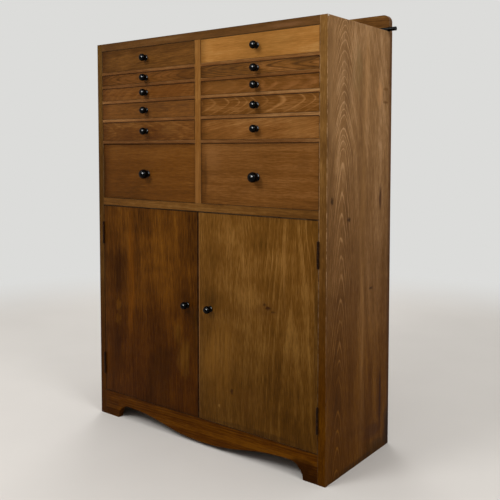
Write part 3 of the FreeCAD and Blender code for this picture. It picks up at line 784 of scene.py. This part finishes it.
FRONTS = {
    "left_drawer_1": dict(
        colours=("#46290d", "#5e3b16", "#754c20"),
        seed=21.0, tilt=-3.0, streaks=1.2, grain=1.22,
        spots=(at(120, 1222, 160, 40, "#6d451d", 0.25), at(60, 1240, 40, 60, "#4d2e11", 0.3))),
    "left_drawer_2": dict(
        colours=("#46290f", "#603a14", "#744821"),
        seed=22.3, heart=(1.172, FACE - 0.006), taper=-0.2, rings=120.0, lines=-0.4, grain=1.08,
        spots=(at(410, 1174, 90, 50, "#46290f", 0.3),)),
    "left_drawer_3": dict(
        colours=("#47280d", "#623913", "#7a4e23"),
        seed=23.1, heart=(1.11, FACE - 0.012), taper=-0.5, rings=55.0,
        lines=0.3, streaks=0.9, grain=1.08,
        spots=(at(350, 1125, 240, 70, "#623913", 0.68),)),
    "left_drawer_4": dict(colours=("#523216", "#6d441c", "#815227"), seed=24.7, grain=1.08),
    "left_drawer_5": dict(
        colours=("#49280f", "#653d17", "#85592b"),
        seed=25.5, heart=(0.99, FACE - 0.02), taper=0.3, wander=0.09, rings=42.0,
        bands=0.22, lines=0.2, grain=0.7, patches=0.9,
        spots=(at(110, 985, 40, 34, "#5b3817", 0.3, 8), at(345, 1000, 120, 50, "#775025", 0.5, 8))),
    "left_drawer_6": dict(
        colours=("#4b2c0e", "#603810", "#6f4519"),
        seed=26.9, heart=(0.99, FACE - 0.06), taper=0.05, rings=50.0,
        lines=0.2, streaks=0.9, grain=0.81,
        # Darker along the left edge, with painted shade along the top edge below the rail
        spots=(at(30, 862, 26, 190, "#301a06", 0.55), at(240, 950, 440, 22, "#3d2009", 0.4))),
    "right_drawer_1": dict(
        colours=("#855824", "#9b6931", "#ab7f48"),
        seed=27.4, streaks=1.3, grain=0.9, patches=1.9, grime=0.35, border=0.05,
        spots=(at(780, 1240, 200, 60, "#a87b41", 0.25),)),
    "right_drawer_2": dict(
        colours=("#4a2e14", "#70471c", "#916135"),
        seed=28.8, heart=(1.176, FACE - 0.004), taper=-0.13, rings=130.0,
        bands=0.9, lines=-0.55, streaks=0.9, patches=1.0, grime=0.3,
        spots=(
            at(860, 1184, 140, 24, "#3d2914", 0.6, 6),
            at(880, 1162, 120, 9, "#372210", 0.5),
            at(560, 1186, 130, 16, "#58402a", 0.15),
        )),
    "right_drawer_3": dict(
        colours=("#4f2f0d", "#673f16", "#82542a"),
        seed=29.2, heart=(1.127, FACE - 0.01), taper=0.3, rings=60.0,
        bands=0.6, lines=0.35, column=0.05, grime=0.35,
        spots=(
            at(800, 1126, 120, 36, "#7a4e25", 0.25, 7),
            at(868, 1122, 60, 34, "#52300e", 0.45, 6),
            at(570, 1126, 220, 60, "#7b5126", 0.35),
        )),
    "right_drawer_4": dict(
        colours=("#523010", "#694118", "#916436"),
        seed=30.6, heart=(1.077, FACE - 0.012), taper=0.36, wander=0.012, rings=62.0,
        bands=0.25, lines=0.42, line_width=0.35, streaks=0.6, patches=0.9),
    "right_drawer_5": dict(
        colours=("#5b3914", "#75491f", "#926536"),
        seed=31.3, tilt=-9.0, bands=0.9, streaks=0.9,
        spots=(at(850, 1000, 160, 70, "#8f6433", 0.3),)),
    "right_drawer_6": dict(
        colours=("#4f2f10", "#6a421a", "#7f542a"),
        seed=32.7, heart=(0.6, -0.03), streaks=1.3, grain=0.8,
        spots=(
            at(530, 900, 90, 160, "#79522d", 0.3),
            at(500, 862, 18, 180, "#3d240e", 0.5),
            at(860, 900, 70, 90, "#583717", 0.35),
            # Painted shade along the top edge, below the rail
            at(700, 950, 440, 16, "#3e250f", 0.35),
        )),
}
COLUMN_LOOKS = {
    "left": {"flecks": 1.0, "fades": (fade("x", 25, 75, "#d2c8ba"), fade("x", 50, 455, "#ecebe8"))},
    "right": {"fades": (fade("x", 480, 515, "#cfc8b4"),)},
}
BOX = ("#85643c", "#a58152", "#bd9c6c")
BOX_SEED_STEP = 40.0

for drawer, look in FRONTS.items():
    side = drawer.split("_")[0]
    dress_board(f"{drawer}_front", "xzy", **COLUMN_LOOKS[side], **look)
    dress(f"{drawer}_box", timber(f"{drawer}_box_wood", "yzx", BOX, seed=look["seed"] + BOX_SEED_STEP))


# Lacquer and steel

def clouded(name, noise, tones, tone_ramp, roughness_ramp, gloss, metallic=0.0):
    """A material whose colour and roughness turn from one value to another with a soft cloud."""
    material, graph, surface, place = new_material(name)
    cloud = graph.noise(place, *noise)
    first, second = (shade(code) for code in tones)
    graph.feed(surface.inputs["Base Color"], graph.blend(graph.ramp(cloud, *tone_ramp), first, second))
    graph.feed(surface.inputs["Roughness"], graph.ramp(cloud, *roughness_ramp))
    surface.inputs["Specular IOR Level"].default_value = gloss
    surface.inputs["Metallic"].default_value = metallic
    return material


# Black gloss that has dulled a little, with fine dust and rub marks
lacquer = clouded(
    "black_lacquer_gloss", ((90.0, 90.0, 90.0), 3.0), ("#010101", "#030303"),
    tone_ramp=(0.4, 0.7), roughness_ramp=(0.3, 0.7, 0.13, 0.15), gloss=0.06)

# Dark oiled steel with rusty patches
dark_steel = clouded(
    "dark_steel_patina", ((220.0, 220.0, 160.0), 4.0, 0.6), ("#1a0e06", "#3a2210"),
    tone_ramp=(0.45, 0.7), roughness_ramp=(0.3, 0.7, 0.38, 0.62), gloss=0.06, metallic=0.1)

lacquered = [node for node in nodes if node.endswith("_knob") or node == "gallery_peg"]
for node in lacquered:
    dress(node, lacquer)
for node in nodes:
    if node.endswith("hinge_leaves") or node == "hinge_pins":
        dress(node, dark_steel)

# Hinge screws: slotted heads that stand just proud of the leaves

SCREW_RADIUS = 2.6 * MM
SCREW_RISE = 0.45 * MM
SCREW_SINK = 0.3 * MM
SLOT_HALF = 0.35 * MM
SLOT_FLOOR = 0.08 * MM
SLOT_REACH_SHARE = 0.98
RIM_STEPS = 12

# The dome's outline, as shares of the radius and heights
DOME = ((1.0, -SCREW_SINK), (1.0, 0.12 * MM), (0.82, 0.36 * MM), (0.5, SCREW_RISE))

# A block's corners at one level, and its faces by the numbers of its corners
LEVEL_CORNERS = ((-1, -1), (1, -1), (1, 1), (-1, 1))
BLOCK_FACES = ((3, 2, 1, 0), (4, 5, 6, 7), (0, 1, 5, 4), (1, 2, 6, 5), (2, 3, 7, 6), (3, 0, 4, 7))

# Each screw's place in its leaf, back from the front and up from the leaf's
# foot in millimetres, and its slot's turn in degrees, to which each leaf adds
LEAF_SCREWS = ((7.0, 12.0, 25.0), (12.5, 37.5, 70.0), (7.0, 63.0, -40.0))
TURN_BY_HEIGHT = 137.0
TURN_BY_SIDE = 61.0
LEAF_HEIGHT = 75.0 * MM
LEAF_LOWS = (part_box("case_hinge_leaves")[0].z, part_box("case_hinge_leaves")[1].z - LEAF_HEIGHT)


def half_dome(mesh, place):
    """Add the half of a head that lies on one side of its slot."""
    slot_angle = math.asin(SLOT_HALF / SCREW_RADIUS)
    sweep = math.pi - 2 * slot_angle
    angles = [slot_angle + sweep * step / RIM_STEPS for step in range(RIM_STEPS + 1)]
    levels = []
    for share, height in DOME:
        level = []
        for angle in angles:
            x = SCREW_RADIUS * share * math.cos(angle)
            y = max(SCREW_RADIUS * share * math.sin(angle), SLOT_HALF)
            level.append(mesh.verts.new(place @ Vector((x, y, height))))
        levels.append(level)
    for low, high in zip(levels, levels[1:]):
        for corners in zip(low, low[1:], high[1:], high):
            mesh.faces.new(corners)
    mesh.faces.new(levels[-1])
    mesh.faces.new(levels[0][::-1])
    mesh.faces.new([level[-1] for level in levels] + [level[0] for level in reversed(levels)])


def slot_block(mesh, place):
    """Add the block between the two halves of a head, whose top is the slot's floor."""
    reach = math.sqrt(SCREW_RADIUS ** 2 - SLOT_HALF ** 2) * SLOT_REACH_SHARE
    corners = [
        mesh.verts.new(place @ Vector((x * reach, y * SLOT_HALF, z)))
        for z in (-SCREW_SINK, SLOT_FLOOR) for x, y in LEVEL_CORNERS
    ]
    for face in BLOCK_FACES:
        mesh.faces.new([corners[corner] for corner in face])


def screw_head(mesh, centre, outward, turn):
    """Add one head to a bmesh, with its slot at a turn about its axis."""
    upright = outward.to_track_quat("Z", "Y").to_matrix().to_4x4()
    place = Matrix.Translation(centre) @ upright @ Matrix.Rotation(math.radians(turn), 4, "Z")
    for flip in (0.0, math.pi):
        half_dome(mesh, place @ Matrix.Rotation(flip, 4, "Z"))
    slot_block(mesh, place)


def make_screws(name, body, leaf_faces):
    """The screws of the leaves at these faces: each a place on x, and 1 or -1 for its side."""
    heads = bmesh.new()
    for face, outward in leaf_faces:
        for low in LEAF_LOWS:
            for depth_mm, up_mm, turn in LEAF_SCREWS:
                centre = Vector((face, FACE + depth_mm * MM, low + up_mm * MM))
                own_turn = turn + TURN_BY_HEIGHT * low + TURN_BY_SIDE * outward
                screw_head(heads, centre, Vector((outward, 0.0, 0.0)), own_turn)
    mesh = bpy.data.meshes.new(name)
    bmesh.ops.recalc_face_normals(heads, faces=heads.faces)
    heads.to_mesh(mesh)
    heads.free()
    mesh.materials.append(dark_steel)
    screws = bpy.data.objects.new(name, mesh)
    bpy.context.scene.collection.objects.link(screws)
    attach(screws, body)


make_screws("case_hinge_screws", "case", ((INNER_LEFT, 1), (INNER_RIGHT, -1)))
make_screws("left_door_hinge_screws", "left_door", ((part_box("left_door")[0].x, -1),))
make_screws("right_door_hinge_screws", "right_door", ((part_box("right_door")[1].x, 1),))

# Floor and backdrop

WALL = shade("#dcdcda")
FLOOR_TONES = ("#cac6c1", "#ccc8c3")
FLOOR_NOISE = ((3.0, 3.0, 3.0), 4.0)
FLOOR_NOISE_RAMP = (0.3, 0.7)
FLOOR_ROUGHNESS = 0.7
FLOOR_GLOSS = 0.2
FLOOR_HALF = 9.0
FLOOR_CELLS = 8
FLOOR_FADE = (1.9, 3.2)

# The world's light, and its strength from the horizon up
SKY_COLOUR = (1.0, 0.985, 0.96, 1.0)
SKY_RAMP = (0.0, 0.9, 0.1, 0.85)


def seen_rays(graph):
    """1 for the rays that show a backdrop: from the camera, a gloss or a glass."""
    rays = graph.add("ShaderNodeLightPath").outputs
    return graph.chain("MAXIMUM", rays["Is Camera Ray"], rays["Is Glossy Ray"], rays["Is Transmission Ray"])


def floor_material():
    """A pale floor that fades into the wall's colour far from the cabinet."""
    material, graph, surface, place = new_material("studio_floor_pale")
    cloud = graph.ramp(graph.noise(place, *FLOOR_NOISE), *FLOOR_NOISE_RAMP)
    first, second = (shade(code) for code in FLOOR_TONES)
    graph.feed(surface.inputs["Base Color"], graph.blend(cloud, first, second))
    surface.inputs["Roughness"].default_value = FLOOR_ROUGHNESS
    surface.inputs["Specular IOR Level"].default_value = FLOOR_GLOSS
    glow = graph.add("ShaderNodeEmission")
    glow.inputs["Color"].default_value = WALL
    far = graph.ramp(graph.length(place), *FLOOR_FADE)
    mixed = graph.mix_shaders(graph.product(far, seen_rays(graph)), surface.outputs[0], glow.outputs[0])
    graph.feed(graph.tree.nodes["Material Output"].inputs["Surface"], mixed)
    return material


def make_floor():
    """The floor that the cabinet stands on, far wider than the view."""
    mesh = bpy.data.meshes.new("studio_floor")
    sheet = bmesh.new()
    bmesh.ops.create_grid(sheet, x_segments=FLOOR_CELLS, y_segments=FLOOR_CELLS, size=FLOOR_HALF)
    sheet.to_mesh(mesh)
    sheet.free()
    mesh.materials.append(floor_material())
    floor = bpy.data.objects.new("studio_floor", mesh)
    bpy.context.scene.collection.objects.link(floor)


def make_world():
    """Soft light from above, behind a backdrop that is all one colour."""
    world = bpy.data.worlds.new("studio")
    bpy.context.scene.world = world
    world.use_nodes = True
    graph = Graph(world.node_tree)
    sky = graph.tree.nodes["Background"]
    sky.inputs["Color"].default_value = SKY_COLOUR
    up = graph.split(graph.add("ShaderNodeTexCoord").outputs["Generated"])["Z"]
    graph.feed(sky.inputs["Strength"], graph.ramp(up, *SKY_RAMP))
    wall = graph.add("ShaderNodeBackground")
    wall.inputs["Color"].default_value = WALL
    mixed = graph.mix_shaders(seen_rays(graph), sky.outputs[0], wall.outputs[0])
    graph.feed(graph.tree.nodes["World Output"].inputs["Surface"], mixed)


make_floor()
make_world()

# Lamps: place, the point that each faces, size and power

LAMPS = {
    "key": ((-0.7, -2.3, 2.6), (0.0, 0.0, 0.7), 1.3, 48.0),
    "fill": ((2.7, -0.9, 2.7), (0.2, 0.0, 0.7), 1.6, 43.0),
    "rear": ((-2.4, 2.9, 2.6), (0.0, 0.2, 0.6), 2.0, 50.0),
    "glint": ((1.05, -2.95, 2.2), (0.0, -0.2, 0.95), 2.0, 1000.0),
}


def make_lamp(name, place, target, size, power):
    """A round area lamp."""
    lamp = bpy.data.lights.new(name, "AREA")
    lamp.shape = "DISK"
    lamp.size = size
    lamp.energy = power
    holder = bpy.data.objects.new(name, lamp)
    holder.location = place
    holder.rotation_euler = (Vector(target) - Vector(place)).to_track_quat("-Z", "Y").to_euler()
    bpy.context.scene.collection.objects.link(holder)
    return holder


lamps = {name: make_lamp(name, *settings) for name, settings in LAMPS.items()}

# The glint is seen only as the highlight on the lacquered knobs and the peg
glint = lamps["glint"]
glint.visible_diffuse = False
glint.light_linking.receiver_collection = bpy.data.collections.new("lacquered")
for node in lacquered:
    glint.light_linking.receiver_collection.objects.link(nodes[node])

# The photograph's camera, angles in degrees: at a tilt of 0 it looks straight down

LEVEL_TILT = 90.0
CAMERA_PLACE = (1.4529, -1.80465, 0.9365)
CAMERA_TURN = 37.7
CAMERA_DIP = 3.27
CAMERA_LENS = 50.61
CAMERA_SHIFT = -0.12

camera = bpy.data.cameras.new("camera")
camera.lens = CAMERA_LENS
camera.shift_y = CAMERA_SHIFT
view = bpy.data.objects.new("camera", camera)
view.location = CAMERA_PLACE
view.rotation_euler = (math.radians(LEVEL_TILT - CAMERA_DIP), 0.0, math.radians(CAMERA_TURN))
bpy.context.scene.collection.objects.link(view)
bpy.context.scene.camera = view
bpy.context.scene.view_settings.view_transform = "Standard"
